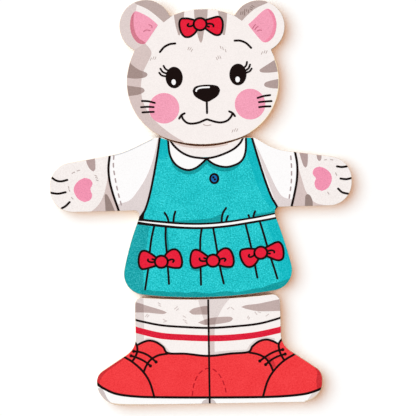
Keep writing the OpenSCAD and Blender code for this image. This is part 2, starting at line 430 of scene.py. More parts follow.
def bow(x, y, lean=0, drop=0):
    """Tied bow, turned by its lean: two loops, each a smooth line out from the knot and back to it,
    a round knot, and a curl in each loop. The second loop hangs lower by the drop.
    Gives the red loops and knot, and the pen lines of either."""
    turn = np.radians(lean)
    axes = np.array([[np.cos(turn), np.sin(turn)], [-np.sin(turn), np.cos(turn)]])
    rims = [curve((-1.8, 1.6), (-3.9, 3.25), (-5.6, 4.25), (-6.95, 4.45), (-8, 3.9), (-8.6, 2.6), (-8.9, 1),
                  (-8.9, -0.6), (-8.5, -1.95), (-7.7, -2.75), (-6.5, -2.83), (-4.7, -2.4), (-2, -1.65),
                  n=2 * LOOP_HALF + 1),
            curve((1.4, 2), (2.5, 3.4), (4, 4.45), (5.2, 4.75), (6.45, 4.5), (7.5, 3.4), (8.2, 1.6),
                  (8.45, -0.4), (8.2, -1.85), (7.5, -2.65), (6.4, -2.75), (4.6, -2.6), (1.8, -1.8),
                  n=2 * LOOP_HALF + 1) - (0, drop)]
    curls = [curve((-2.4, 0), (-3.4, -0.2), (-4.5, -0.05), (-5.2, 0.5), (-5.15, 1)),
             curve((-3.4, 1.05), (-2.9, 0.9), (-2.3, 0.6)),
             curve((2.4, -0.1), (3.5, 0.55), (4.6, 0.7), (5.2, 0.25), (4.8, -0.35))]
    rims, curls = ([path @ axes + (x, y) for path in group] for group in (rims, curls))
    t = np.linspace(0, 2 * np.pi, 40)
    heart = np.array(KNOT_SET) @ axes + (x, y)
    ring = np.column_stack([np.cos(t), np.sin(t)]) * KNOT_ROUND @ axes + heart
    loops = [(rim[:LOOP_HALF + 1], rim[:LOOP_HALF - 1:-1]) for rim in rims]
    pens = [pen(rim, 0.85) for rim in rims] + [pen(curl, 0.78) for curl in curls]
    return loops, [oval(*heart, *KNOT_ROUND, lean)], pens, [pen(ring)]


HEAD = cut_line("head_print_sheet")
EAR_ROOT = (-14.6, 69.5)
EAR_END = 32  # the point of the shade's edge at the root of the ear
shade_edge = curve((-25.6, 80.8), (-26.3, 77.6), (-27.2, 73), (-26.2, 68.5), (-23, 64.7), (-20.5, 60.9),
                   (-22, 57), (-23.8, 53.5), (-24.9, 49), (-25, 45), (-24.3, 41), (-22.3, 36.7),
                   (-19.2, 32.9), (-14.7, 28.9), (-11, 26.3), (-8.6, 24.9), n=120)
printed("head_ear_shade", 1, EAR_SHADE, to_edge(shade_edge[:EAR_END + 1], EAR_ROOT, HEAD))
printed("head_fur_shade", 1, FUR_SHADE, to_edge(shade_edge[EAR_END:], EAR_ROOT, HEAD))

upper_left_stripe = (curve((-30.2, 58), (-28, 55.7), (-25.6, 54), (-23.6, 53.15), (-22.6, 52.6),
                           (-22.3, 51.9)),
                     curve((-31, 51), (-27.5, 50.5), (-24.2, 50.7), (-22.8, 51.2), (-22.3, 51.9)))
lower_left_stripe = (curve((-31, 47.9), (-27.5, 47.3), (-25, 46.9), (-24, 46.4), (-23.6, 45.6)),
                     curve((-30.4, 43.5), (-26.5, 44), (-24.9, 44.5), (-24, 45), (-23.6, 45.6)))
printed("head_stripe", 2, STRIPE,
        to_edge(curve((-26.4, 80.4), (-21.8, 78.2), (-18.4, 75.6), (-15.3, 72.7)), (-24.5, 66), HEAD),
        to_edge(curve((26.4, 79.4), (21.7, 77.4), (18.6, 75), (16, 72.5)), (24.5, 66.5), HEAD),
        (curve((-11.2, 76), (-10.6, 71.5), (-9.6, 67.5)), curve((-6.8, 77.5), (-7.6, 72), (-9, 67.3))),
        (curve((-3.1, 78.5), (-2.9, 74), (-2.2, 69), (-1.3, 65.3), (-0.6, 64)),
         curve((2.5, 78.5), (2.1, 74), (0.8, 69), (0.1, 65.5), (-0.6, 64))),
        (curve((6.3, 77.5), (7.4, 72), (8.2, 67)), curve((10.2, 76), (9.8, 71.5), (9.1, 67.1))))
printed("head_cheek_stripe", 2, CHEEK_STRIPE, upper_left_stripe, lower_left_stripe,
        (curve((28.8, 56.6), (26, 54.9), (24, 53.7), (22.9, 53), (22.5, 52.5)),
         curve((30, 51.8), (26.5, 51.5), (23.9, 51.6), (22.9, 51.9), (22.5, 52.5))),
        (curve((30.2, 48.9), (27.4, 48.4), (25.2, 47.8), (24.4, 47.2), (24.2, 46.6)),
         curve((30.2, 45), (27.5, 45.2), (25.3, 45.7), (24.5, 46.1), (24.2, 46.6))))
printed("head_stripe_shade", 3, STRIPE_SHADE,
        tuple(np.minimum(edge, (-24.3, np.inf)) for edge in upper_left_stripe),
        tuple(np.minimum(edge, (-25.1, np.inf)) for edge in lower_left_stripe))
right_rim = curve((29.3, 57.5), (31, 52), (31, 46), (30, 40.5), (27.6, 35), (24, 30.8), (19, 27))
printed("head_bare_edge", 3, RIM_BIRCH, pen(trimmed(right_rim, HEAD), 0.55))
printed("head_ear_ticks", 3, EAR_TICK, ticks((16.4, 75.4), (18, 76.4), lean=80),
        ticks((20.2, 77.6), lean=150))
printed("head_fur_ticks", 3, TICK, ticks((-5, 61.6), lean=60),
        ticks((8.2, 61.4), lean=105, slant=-0.8), ticks((6.3, 57.9), lean=110),
        ticks((-19.9, 58.3), (24.6, 59.6), (12, 28.7), lean=65, slant=0.5),
        line((-0.5, 31.5), (0.3, 31.1), (1.2, 31), (2.5, 31.2), width=0.4))
printed("head_pink", 4, PINK,
        (curve((-28.75, 71.2), (-28.3, 75), (-26.9, 77.2), (-25.2, 77.1), (-21.3, 75), (-18.2, 72.3),
               (-17.7, 71.5)),
         curve((-28.75, 71.2), (-28, 67.7), (-26.1, 65), (-23.8, 64.2), (-22.4, 65), (-19.3, 69.3),
               (-17.7, 71.5))),
        (curve((18.5, 71), (20.4, 72.6), (23.8, 75.7), (26.2, 77.1), (27.9, 76.2), (29.2, 74), (29.8, 70.5)),
         curve((18.5, 71), (19.6, 69.3), (22.4, 65.7), (24.3, 63.8), (26.5, 64), (28.8, 66.4), (29.8, 70.5))),
        oval(-16.05, 38.35, 6.1, 6.1), oval(18.4, 39.1, 6.1, 6.15), grain=PINK_GRAIN)
printed("head_pink_shade", 5, PINK_SHADE,
        (curve((-26.8, 77.3), (-28.3, 75), (-28.75, 71.2), (-28, 67.7), (-26.1, 65), (-23.8, 64.2),
               (-22.7, 64.8)),
         curve((-26.8, 77.3), (-27.3, 74.5), (-27.2, 71), (-26.4, 68.2), (-25.1, 66.4), (-23.8, 65.5),
               (-22.7, 64.8))), grain=PINK_GRAIN)
printed("head_pink_deep", 5, PINK_DEEP,
        (curve((26.2, 77.1), (27.9, 76.2), (29.2, 74), (29.8, 70.5), (28.8, 66.4), (26.5, 64), (24.3, 63.8)),
         curve((26.2, 77.1), (27.2, 75.5), (28.3, 73), (28.6, 70.5), (27.7, 67.2), (26, 65), (24.3, 63.8))),
        grain=PINK_GRAIN)
printed("head_pink_ticks", 6, PINK_TICK, [line(*tick, width=0.38) for tick in (
    ((-21.2, 71.9), (-20.2, 71.5), (-20, 70.6)), ((-23.4, 69.2), (-22.4, 69.8), (-20.8, 69.6)),
    ((20.2, 69.3), (20.8, 70.2), (21.4, 70.8)), ((21.1, 68.8), (21.7, 69.6), (22.4, 70.1)),
    ((22, 68.2), (22.8, 68.6), (23.8, 68.5)))])

loops, knot, pens, ring = bow(-0.6, 71.5, 180, -0.2)
printed("head_bow", 5, BOW_RED, loops)
printed("head_bow_line", 6, LINE, pens, grain=LINE_GRAIN)
printed("head_bow_knot", 7, BOW_RED, knot)

printed("head_line", 8, LINE, ring,
        line((-17.1, 60.9), (-15.3, 62.85), (-13.1, 63.9), (-10.9, 64.15)),
        line((12.9, 64.65), (15.2, 64.55), (17.5, 63.5), (19.4, 61.6)),
        oval(-11.68, 50.53, 3.42, 4.3, 1), oval(13.86, 51.08, 3.42, 4.33, -2),
        [line(*lash, width=0.76) for lash in (
            ((-13.6, 53.2), (-15, 54), (-15.8, 55.3)), ((-14.2, 52.1), (-16.1, 52.8), (-17.1, 54.2)),
            ((-14.6, 51), (-16.6, 51.5), (-17.6, 52.6)), ((16, 53.4), (17.2, 54.6), (17.6, 56)),
            ((16.4, 52.3), (18.1, 53.4), (18.8, 54.9)), ((16.8, 51.6), (18.5, 52.2), (19.4, 53.3)))],
        (curve((-4.5, 45), (-3.65, 46.45), (-1.9, 47.1), (1, 47.35), (4, 47.15), (5.8, 46.5), (6.58, 45)),
         curve((-4.5, 45), (-3.7, 42.95), (-1.5, 41.4), (1.1, 40.4), (3.7, 41.5), (5.7, 43), (6.58, 45))),
        line((1.1, 40.6), (1.1, 36)),
        line((-9.15, 35.4), (-8.5, 33.7), (-7, 32.3), (-5, 31.9), (-2.4, 32.25), (-0.2, 33.1), (1, 33.45),
             (2.3, 33.05), (4.5, 32.35), (6.8, 32.1), (9.1, 32.75), (10.65, 34.3), (11.3, 35.7)),
        line((-10.1, 34.1), (-9.1, 35.45), (-7.9, 36.1)),
        line((10, 36.4), (11.3, 35.7), (12.2, 34.5)),
        [line(*whisker, width=0.8) for whisker in (
            ((-24.8, 41.5), (-22.3, 41.3), (-19.7, 40.6)), ((-25.2, 39), (-22.6, 39.1), (-20.2, 38.9)),
            ((-24.7, 36.9), (-22.4, 37), (-20.2, 37)), ((21.5, 41.5), (24, 42.2), (26.5, 42.5)),
            ((22, 39.8), (24.5, 40), (27, 40.1)), ((22, 37.8), (24.3, 38), (26.5, 38)))], grain=LINE_GRAIN)
printed("head_glint", 9, GLINT, oval(-11.92, 48.7, 0.86, 1.15, 4), oval(13.68, 49.1, 0.9, 1.15),
        line((-3, 44.9), (-2.8, 45.45), (-2, 45.95), (-0.5, 46.25), (2.2, 46.3), width=0.66))

# Print on the torso: a teal pinafore with a white collar, a white waist band and three red bows, white
# sleeves with a stitched cuff, and two pale paws with pink pads. The inks are films on one paper, trimmed
# where it ends; a grey one along the left shoulder's edge and a pale brown one on the neck under the chin
# are painted shade.
TEAL_GRAIN = 0.13
TEAL_SHADE_GRAIN = 0.08
TEAL = (26, 197, 203)
TEAL_DEEP = (0, 185, 194)
TEAL_SHADE = (16, 166, 172)
TEAL_FOLD = (0, 155, 159)
PAW = (247, 239, 236)
NECK_PAINTED_SHADE = (226, 206, 200)
CLOTH_SHADE = (224, 212, 211)
BAND_WHITE = (254, 252, 251)
BUTTON_BLUE = (6, 108, 180)
STITCH = (176, 158, 158)
PAW_STRIPE = (181, 158, 155)
PAW_STRIPE_SHADE = (151, 131, 125)
EDGE_PAINTED_SHADE = (206, 208, 213)
PAD_PINK = (243, 148, 177)

TORSO = cut_line("torso_print_sheet")
left_cuff = curve((-38.2, 20.6), (-38.9, 15), (-38.6, 10), (-37.35, 4.5), (-35.2, -2.2), n=90)
right_cuff = curve((35.8, 20), (36.6, 14.5), (36.4, 9), (35.5, 4), (33.9, -2.4), n=90)
left_side = curve((-18, 27), (-18.87, 21.5), (-20.03, 15.5), (-21.46, 8.8), (-22.97, 2.8), (-24.7, -2.1),
                  (-27, -6))
right_side = curve((18.7, 26), (20.3, 20), (22.25, 13), (24.15, 6.8), (26.05, 1.6), (28.2, -2.6),
                   (27.4, -5))
waist = curve((-28.4, -6.4), (-20, -7.62), (-10, -8.74), (-1, -9.08), (8, -8.58), (17, -7.42), (23, -6.52),
              (28, -5.62), n=90)
neckline = curve((-14.2, 26), (-12.6, 23.4), (-9.6, 20.6), (-6, 18.8), (-2, 18.05), (0.6, 17.9),
                 (4, 18.4), (8, 19.7), (11.5, 21.4), (14.1, 23.7), (15.3, 26))
left_collar = curve((-14.8, 26.5), (-14.45, 21), (-13.55, 18), (-11.9, 15.65), (-9.5, 14.05), (-6.8, 13.35),
                    (-4, 14.1), (-1.6, 15.8), (0.5, 17.7))
right_collar = curve((16.4, 26.5), (16.3, 21.6), (15.55, 18.3), (13.9, 16.05), (11.2, 14.75), (8.3, 14.2),
                     (5.2, 14.7), (2.6, 15.9), (0.5, 17.7))

printed("torso_paw", 1, PAW, to_edge(left_cuff, (-18, 9), TORSO), to_edge(right_cuff, (16, 8.5), TORSO),
        to_edge(neckline, (0.6, -12), TORSO))
printed("torso_paw_shade", 2, FUR_SHADE,
        (curve((-38.9, 13), (-38.6, 9.5), (-37.4, 4.5), (-36.2, 0.8), (-35.2, -2.2)),
         curve((-38.9, 13), (-40, 8), (-41.3, 3.7), (-43.6, 0), (-46.6, -2.4))),
        (curve((36.7, 14.5), (36.4, 9.5), (35.5, 4), (34.7, 0.8), (33.9, -2.4)),
         curve((36.7, 14.5), (38.2, 9), (40, 3.3), (43.2, -0.8), (48.5, -2.4))))
# Painted shade: a pale brown film on the neck just under the chin, for the shade beside the gap under the
# head.
printed("torso_neck_shade", 2, NECK_PAINTED_SHADE,
        to_edge(curve((-12.6, 24.1), (-8, 22.6), (-2, 21.9), (4, 22.1), (9, 23)), (0.6, -12), TORSO))
printed("torso_stripe", 3, PAW_STRIPE,
        (curve((-47.8, 18.6), (-47.4, 16.8), (-46.3, 14.8), (-45, 13.8)),
         curve((-44.2, 19.2), (-44.1, 16.8), (-44.2, 14.7), (-45, 13.8))),
        (curve((37.5, 19.6), (38.4, 16.2), (39.1, 14), (39.9, 13.1)),
         curve((41, 19.2), (40.9, 16.2), (40.6, 14), (39.9, 13.1))),
        (curve((44.3, 19), (44.6, 17), (45, 16), (45.5, 15.6)),
         curve((46.4, 19), (46.4, 17), (46.1, 16), (45.5, 15.6))))
printed("torso_stripe_shade", 3, PAW_STRIPE_SHADE,
        (curve((-40.2, 4.7), (-40.7, 4), (-40.6, 1), (-40.5, -2.4)),
         curve((-40.2, 4.7), (-39.5, 4.1), (-38.1, 1.2), (-36.7, -2.4))),
        (curve((40.3, 2.6), (39.6, 1.8), (39.4, 0), (39.2, -3)),
         curve((40.3, 2.6), (41.4, 2), (42.3, 0), (42.5, -3))))
printed("torso_fur_ticks", 3, TICK, [line(*tick, width=0.4) for tick in (
    ((-53.5, 13.3), (-52.5, 13.7)), ((-51.5, 14.2), (-50.5, 14.4)), ((-44.4, 12.2), (-43.7, 11.9)),
    ((-44.1, 11.4), (-43.4, 11.1)), ((-43.9, 10.4), (-43.2, 10.1)), ((-55.1, 8), (-54.9, 7.3)),
    ((-54.9, 6.8), (-54.6, 6.1)), ((-54, 3.7), (-53.4, 3)), ((47.6, 16), (48.4, 16.1)),
    ((50, 16.1), (50.9, 15.9)), ((51.9, 10.7), (52.3, 9.7)), ((48.5, 3.1), (49, 2.3)))])

printed("torso_pads", 4, PAD_PINK,
        (curve((-48.6, 11.35), (-46.6, 10.8), (-45.5, 9.4), (-45.7, 8.1), (-46.3, 7.05), (-46.15, 5.8),
               (-45.7, 4.3), (-46.6, 2.4), (-48.8, 1.65)),
         curve((-48.6, 11.35), (-50.7, 10.4), (-52.35, 8.7), (-53, 6.6), (-52.4, 4.6), (-51, 2.7),
               (-48.8, 1.65))),
        (curve((45.4, 13.4), (43.5, 12.7), (42.7, 11), (43.1, 9.9), (43.9, 8.8), (43.55, 7.6), (43.35, 6.4),
               (44.1, 4.55), (46.2, 3.65)),
         curve((45.4, 13.4), (47.6, 12.65), (49.65, 10.85), (50.3, 8.6), (49.7, 6.3), (48.3, 4.5),
               (46.2, 3.65))),
        grain=PINK_GRAIN)
printed("torso_sleeve_shade", 4, CLOTH_SHADE,
        (curve((-18.3, 26.5), (-20.2, 15.5), (-21.6, 8.8), (-23.1, 2.8), (-25.4, -2.6), (-35.2, -2.6)),
         curve((-18.8, 26.5), (-21, 18), (-23.9, 11), (-27.9, 5), (-31, 1.8), (-35.8, 0.4))),
        (curve((-25, -2), (-26.2, -3.6), (-27.4, -5.4)), curve((-28.6, -2), (-28.2, -3.2), (-27.7, -5.4))),
        (curve((19.6, 24), (21, 20), (23, 13), (25.1, 6.8), (26.9, 1.6), (28.8, -2.6), (33.8, -2.6)),
         curve((19.6, 24), (21.8, 19.5), (24.4, 13.5), (27.4, 6.6), (29.6, 2.7), (31.7, 1.2), (34.6, 0.5))))
# Painted shade: a thin grey line along the edge of the left shoulder.
printed("torso_edge", 4, EDGE_PAINTED_SHADE,
        pen(trimmed(curve((-37.5, 22), (-30, 24.4), (-22, 27.8)), TORSO), 0.7))
CUFF_STITCH = {"width": 0.55, "dash": 1.4, "gap": 1.7}
printed("torso_stitch", 5, STITCH,
        dashes(curve((-36.6, 20.2), (-36.9, 15.5), (-36.2, 10), (-35.3, 5), (-34.1, 0)), **CUFF_STITCH),
        dashes(curve((34.1, 18.2), (34.3, 13), (34, 7), (33.2, 2), (32.6, -1.4)), **CUFF_STITCH))

printed("torso_teal", 4, TEAL,
        (curve((-18.2, 27), (-19, 21.5), (-19.9, 17)), curve((-14.5, 26.5), (-13.8, 21), (-9, 17))),
        (curve((18.8, 26), (20.3, 20), (21.2, 17)), curve((16.2, 26.5), (15, 21), (9, 17))),
        (curve((-19.6, 18.4), (-20.2, 15.5), (-21.6, 8.8), (-23.1, 2.8), (-24.9, -2), (-27, -6)),
         curve((20.8, 18.4), (22.3, 13), (24.3, 6.8), (26.1, 1.6), (28.2, -2.6), (27.4, -5))),
        (np.linspace((-27, -6), (27.4, -5), len(waist)), waist), to_edge(waist, (0, 40), TORSO),
        grain=TEAL_GRAIN)
printed("torso_teal_deep", 5, TEAL_DEEP,
        to_edge(curve((23.3, -6), (25.4, -14), (27.4, -22), (28.4, -29), (28.2, -34)), (5, -20), TORSO),
        (curve((-18.2, 27), (-19, 21.5), (-19.7, 18)), curve((-14.5, 26.5), (-14.6, 21), (-16, 18))),
        (curve((18.8, 26), (20.3, 20), (22.3, 13), (24.3, 6.8), (26.1, 1.6), (28.2, -2.6)),
         curve((16.2, 26.5), (16.6, 20), (18.6, 13), (20.4, 6.8), (22.6, 1.6), (25.6, -2.6))),
        grain=TEAL_SHADE_GRAIN)
printed("torso_teal_shade", 6, TEAL_SHADE,
        to_edge(curve((-22.8, -7), (-24.1, -14.5), (-25.6, -23), (-26.1, -29), (-25.9, -36.5)),
                (10, -20), TORSO), grain=TEAL_GRAIN)
hem_shade = curve((-26.5, -34), (-24, -34.1), (-22, -34.6), (-18.5, -34.8), (-15.5, -35.3), (-12, -35.2),
                  (-9, -35.7), (-5.5, -35.3), (-2, -36), (1, -36.2), (4.5, -35.6), (8, -35.5), (11.5, -35.9),
                  (15, -35.3), (18.5, -34.7), (21, -34.5), (24, -33.45), (26.5, -32.75), (29.3, -32),
                  (31.3, -31.3), (33.6, -30.6), n=160)
printed("torso_teal_fold", 7, TEAL_FOLD, to_edge(hem_shade, (0, 60), TORSO),
        (curve((-14.5, 19.5), (-12.9, 14.8), (-9.7, 12.3), (-6.8, 11.6), (-3.6, 12.3), (-1.2, 14.1),
               (0.6, 15.7)),
         curve((-14.4, 19.5), (-12.4, 16), (-9.6, 14), (-6.8, 13.6), (-4, 14.3), (-1.6, 16), (0.6, 18))),
        (curve((13.9, 15.2), (12, 13.5), (8.6, 12.4), (5.2, 12.8), (2.4, 14.1), (0.6, 15.7)),
         curve((13.6, 16.4), (12, 15.4), (8.6, 14.4), (5.2, 14.9), (2.4, 16.4), (0.6, 18))),
        (curve((-20, -6.9), (-12, -6.8), (-4, -6.5), (2, -6), (5.9, -4.4)),
         curve((-20, -7.4), (-12, -8), (-4, -8.4), (2, -8.4), (5.7, -8))),
        (curve((19, -4.9), (23, -4.6), (27.4, -3.8)), curve((19, -6.2), (23, -5.7), (27.4, -5))),
        (curve((-16.1, -9.5), (-15.7, -14), (-15.5, -18.5)),
         curve((-16.8, -9.5), (-16.7, -14), (-16.4, -18.5))),
        (curve((-7, -26.4), (-4.6, -27.2), (-3.1, -26.6)), curve((-7, -25), (-4.6, -25), (-3.1, -25))),
        (curve((4.8, -26.6), (7, -27), (9.8, -26)), curve((4.8, -25), (7, -25), (9.8, -25))),
        (curve((19.4, -24.6), (21, -23.2), (24, -22.8), (26, -23.6)),
         curve((19.4, -23), (21, -22), (24, -22), (26, -22.4))), grain=TEAL_SHADE_GRAIN)
THROAT = 25  # the point of the neckline where the collars meet
collar_halves = (neckline[:THROAT + 1], left_collar), (neckline[:THROAT - 1:-1], right_collar)
printed("torso_collar", 7, BAND_WHITE,
        [(inner, outer[np.linspace(0, len(outer) - 1, len(inner)).astype(int)])
         for inner, outer in collar_halves], grain=PAPER_GRAIN)

SIDE_STOP = 42  # points of the dress's right side above the waist band
skirt_bows = [bow(-18.88, -22.9), bow(1.8, -23.02), bow(21.3, -20.5, 191, 0.2)]
printed("torso_line", 8, LINE,
        pen(left_cuff, 0.9), pen(right_cuff, 0.9), pen(left_side), pen(right_side[:SIDE_STOP]),
        (curve((-24.6, -1.4), (-26.2, -3.6), (-28.4, -6.6)),
         curve((-24.6, -1.4), (-25, -3.6), (-25.5, -6.6))),
        pen(neckline), pen(left_collar), pen(right_collar), pen(waist - (0, 0.06), 2.55),
        oval(3.3, 9.7, 2.05, 2.25),
        [line(*crease) for crease in (
            ((-16.9, -3.5), (-16, -5), (-15.4, -7)), ((-12.6, -3.1), (-13.2, -5), (-13.5, -7.4)),
            ((7.7, -2.2), (6.6, -3.8), (6, -5.6), (5.8, -7.8)), ((8.4, -5.4), (7.9, -6.4), (7.6, -7.6)),
            ((16.6, -5.3), (16.8, -5.8), (17, -6.4)), ((19.3, -3.8), (18.8, -5), (18.5, -6.2)))],
        [line(*pleat) for pleat in (
            ((-21.3, -9), (-22.5, -14), (-23.4, -20)), ((-24, -25.4), (-24.8, -30), (-25.5, -33.9)),
            ((-16.6, -9.4), (-16.8, -14), (-16.4, -20)), ((-16.2, -25.4), (-16, -29), (-15.9, -31.9)),
            ((-2.3, -10.4), (-2.9, -14.5), (-3.1, -20)), ((-3.1, -25.4), (-3.1, -29), (-3.1, -32.6)),
            ((2.4, -10.4), (3.1, -15), (3.8, -20)), ((4.6, -25.4), (5.3, -29), (6, -32.3)),
            ((15.4, -9.2), (16.5, -14), (17.5, -19)), ((18.6, -24.6), (19, -27.4), (19.5, -30.3)),
            ((21.2, -8.4), (22.5, -13), (23.8, -18)), ((25.2, -23), (26.4, -27), (27.5, -30.9)))],
        grain=LINE_GRAIN)
# The white band narrows towards the left side.
half_band = np.interp(waist[:, 0], (-28.4, -27, -25.5, -21, -12, 0, 20, 26.5),
                      (0.1, 0.13, 0.25, 0.3, 0.38, 0.45, 0.45, 0.57))[:, None] * (0, 1)
printed("torso_band", 9, BAND_WHITE, (waist + half_band, waist - half_band), grain=PAPER_GRAIN)
printed("torso_button", 9, BUTTON_BLUE, oval(3.25, 9.7, 1.15, 1.38))
printed("torso_bows", 9, BOW_RED, *[loops for loops, knot, pens, ring in skirt_bows])
printed("torso_bow_line", 10, LINE, *[pens for loops, knot, pens, ring in skirt_bows],
        oval(2.95, 10.2, 0.48, 0.48), oval(3.55, 9.35, 0.48, 0.48),
        line((-61.8, 11.9), (-60, 10.6), (-58, 10.2), (-55.5, 10.7)),
        line((-62.6, 5.8), (-59.4, 5.3), (-56.3, 5.8)),
        line((-58, -0.6), (-56.4, 0.3), (-54.8, 1.8)),
        line((52.5, 13.3), (54.4, 13), (56.4, 13.2)),
        line((53.8, 8.4), (56, 8.1), (58.2, 8.5)),
        line((52.7, 4.4), (54.3, 2.9), (56.8, 2.2)), grain=LINE_GRAIN)
printed("torso_bow_knots", 11, BOW_RED, *[knot for loops, knot, pens, ring in skirt_bows])
printed("torso_knot_line", 12, LINE, *[ring for loops, knot, pens, ring in skirt_bows], grain=LINE_GRAIN)

# Print on the legs: two striped legs in white socks with a red band, and red laced shoes heel to heel.
# The shoes have a white sole, a dark line round each panel, and a stitched arch between the heels.
# The inks are films on one paper. The one under the soles is the bare birch rim in a darker tone, painted
# shade on the lower edge away from the light, and it widens at the right corner into a painted shadow.
RED_GRAIN = 0.045
SHOE_RED = (244, 60, 64)
SHOE_SHADE = (207, 46, 52)
LEG_SHADE = (226, 214, 211)
SOCK_RED = (222, 27, 56)
SOLE_WHITE = (254, 252, 251)
SOLE_SHADE = (208, 195, 193)
SOLE_PALE = (228, 215, 211)
PAINTED_SHADE_BIRCH = (223, 199, 175)
SOCK_SHADE = (217, 202, 198)
LEG_STRIPE = (193, 172, 168)
LEG_STRIPE_SHADE = (172, 150, 146)
LEG_TICK = (218, 206, 203)
SHOE_STITCH = (190, 22, 36)

LEGS = cut_line("legs_print_sheet")
sock_top = curve((-30.5, -45.85), (-20, -48.3), (-10, -49.35), (0, -49.95), (10, -49.6), (20, -48.7),
                 (29, -46.5))
sock_band = curve((-30.5, -49.65), (-20, -52.42), (-10, -53.43), (0, -54), (9, -53.93), (19, -53.08),
                  (29, -51.17))
shoe_top = curve((-29.4, -56.2), (-27.2, -55.1), (-24.5, -54.4), (-21.65, -55.1), (-18.9, -57.1),
                 (-17, -59.6), (-10, -60.05), (-1, -61.15), (8, -60.45), (15, -60), (16.8, -57.8),
                 (19.4, -55.9), (22.3, -55.2), (25, -55.9), (27.3, -57.2), n=141)
sole_line = curve((-46.35, -70.4), (-45.25, -71.4), (-43, -73.1), (-38, -75.4), (-30, -76.65), (-20, -77.2),
                  (0, -77.8), (20, -78.15), (30, -77.97), (38, -77.22), (44.3, -75.3), n=110)
middle = np.column_stack([np.linspace(-0.4, -0.86, 20), np.linspace(-38, -80.4, 20)])

printed("legs_fur_shade", 1, LEG_SHADE,
        to_edge(curve((-26.3, -36.5), (-26.2, -42), (-26.3, -48), (-26.5, -54.5)), (0, -46), LEGS),
        (curve((-4.8, -36.5), (-3.9, -41), (-2.9, -45), (-0.7, -50)),
         curve((10.2, -36.5), (6, -41), (3.4, -45.5), (1.9, -50))),
        pen(curve((-25.8, -54.1), (-24.4, -54), (-21, -55), (-18.4, -57.2), (-16.4, -59.6)), 1.0),
        pen(curve((14.4, -60), (16.4, -57.2), (19.2, -55.2), (22.3, -54.6), (25.4, -55.2)), 1.0),
        (curve((1.6, -59.6), (8, -59.2), (14.6, -59)), curve((1.6, -61), (8, -60.6), (14.6, -60.2))))
printed("legs_sock_shade", 1, SOCK_SHADE,
        (curve((-0.7, -50), (-0.8, -55), (-0.8, -61.5)), curve((1.9, -50), (1.7, -55), (1.6, -61.5))))
printed("legs_stripe", 2, LEG_STRIPE,
        (curve((-30.5, -38.6), (-25, -40.4), (-19, -42.4), (-17, -43.4)),
         curve((-30.5, -43), (-25, -43.2), (-19, -43.9), (-17, -43.4))),
        (curve((-8.2, -43.3), (-6.6, -42.1), (-3.6, -41.4), (-0.6, -41)),
         curve((-8.2, -43.3), (-6.6, -44.4), (-3.6, -44.5), (-0.6, -44.6))),
        (curve((-4.7, -47.7), (-2, -46.6), (2, -45.8), (8, -45.7), (9.4, -46.6)),
         curve((-4.7, -47.7), (-2, -48.7), (2, -48.6), (7.6, -47.8), (9.4, -46.6))),
        (curve((12.7, -41.9), (15, -41.2), (20, -40.7), (28.6, -39.1)),
         curve((12.7, -41.9), (15, -42.8), (20, -43.8), (28.6, -43.9))))
printed("legs_stripe_shade", 3, LEG_STRIPE_SHADE,
        (curve((-30.5, -38.6), (-28.4, -39.2), (-26.3, -39.9)),
         curve((-30.5, -43), (-28.4, -43), (-26.3, -43.1))),
        (curve((-3.6, -41.4), (-2.1, -41.2), (-0.6, -41)),
         curve((-2.9, -44.5), (-1.8, -44.6), (-0.6, -44.6))),
        (curve((-2.2, -46.7), (0.4, -46.1), (2.9, -45.8)), curve((-2, -48.7), (0, -48.7), (2.1, -48.6))))
printed("legs_fur_ticks", 3, LEG_TICK, [line(*tick, width=0.42) for tick in (
    ((-20.4, -39.4), (-19.6, -39.9)), ((-20.2, -40.3), (-19.4, -40.8)), ((-13.9, -42), (-12.8, -41.1)),
    ((-13.2, -42.6), (-12.4, -42)), ((-25.7, -44.7), (-24.9, -44)), ((-24.9, -44.9), (-24.3, -44.3)),
    ((-18.6, -46), (-17.8, -46.5)), ((-18.4, -47.2), (-17.2, -46.7)), ((-10.6, -44.9), (-9.6, -45.5)),
    ((-10.6, -46.4), (-9.4, -46.9)), ((-9.9, -47.3), (-9.1, -47.9)), ((7.2, -42.6), (8, -42)),
    ((8.7, -42), (9.7, -42.8)), ((18.2, -44.1), (18.9, -45.1)), ((19.4, -44), (20.4, -44.4)),
    ((15.1, -46.4), (15.5, -45.6)), ((15.5, -46.9), (15.9, -46.2)), ((22.6, -45.8), (23.6, -45.1)))])
printed("legs_sock_band", 4, SOCK_RED, pen(sock_band - (0, 0.1), 2.46), grain=RED_GRAIN)
printed("legs_shoe", 5, SHOE_RED,
        (curve((-30.9, -54.8), (-32.6, -58.2), (-36.5, -61.2), (-41.5, -63.9), (-45.6, -66.6), (-46.8, -70.5),
               (-46, -75)),
         np.linspace((-29.4, -56.2), (-29.4, -79), 48)),
        (shoe_top, np.linspace((-29.4, -79), (27.3, -79.4), len(shoe_top))),
        (curve((28.9, -54.8), (31.2, -58.9), (36, -61.9), (41, -64.8), (44.2, -67.6), (45.2, -72.5),
               (44.2, -77)),
         np.linspace((27.3, -57.2), (27.3, -79.4), 48)), grain=RED_GRAIN)
printed("legs_shoe_shade", 6, SHOE_SHADE,
        to_edge(curve((-34.6, -61.5), (-38, -63.9), (-41, -65.8), (-43.3, -67.9), (-44.5, -70), (-44.8, -72)),
                (-24, -75), LEGS),
        to_edge(curve((41.2, -66.5), (42.4, -69), (42, -72), (42.2, -75.5)), (20, -71), LEGS),
        (curve((20.6, -62), (22.4, -63.2), (24.6, -66.8)), curve((21.5, -61.4), (24.6, -63), (26, -66))),
        grain=RED_GRAIN)
printed("legs_sole", 6, SOLE_WHITE, to_edge(sole_line, (-0.8, -30), LEGS), grain=PAPER_GRAIN)
printed("legs_sole_shade", 7, SOLE_SHADE,
        to_edge(curve((-44, -72.8), (-43, -74.3), (-42.3, -76), (-41.6, -77.4), (-40.4, -78.8)),
                (-30, -71), LEGS),
        (curve((-4.6, -80.6), (-3.4, -79), (-1.8, -78.3)), curve((2, -80.6), (1, -79), (-0.2, -78.3))))
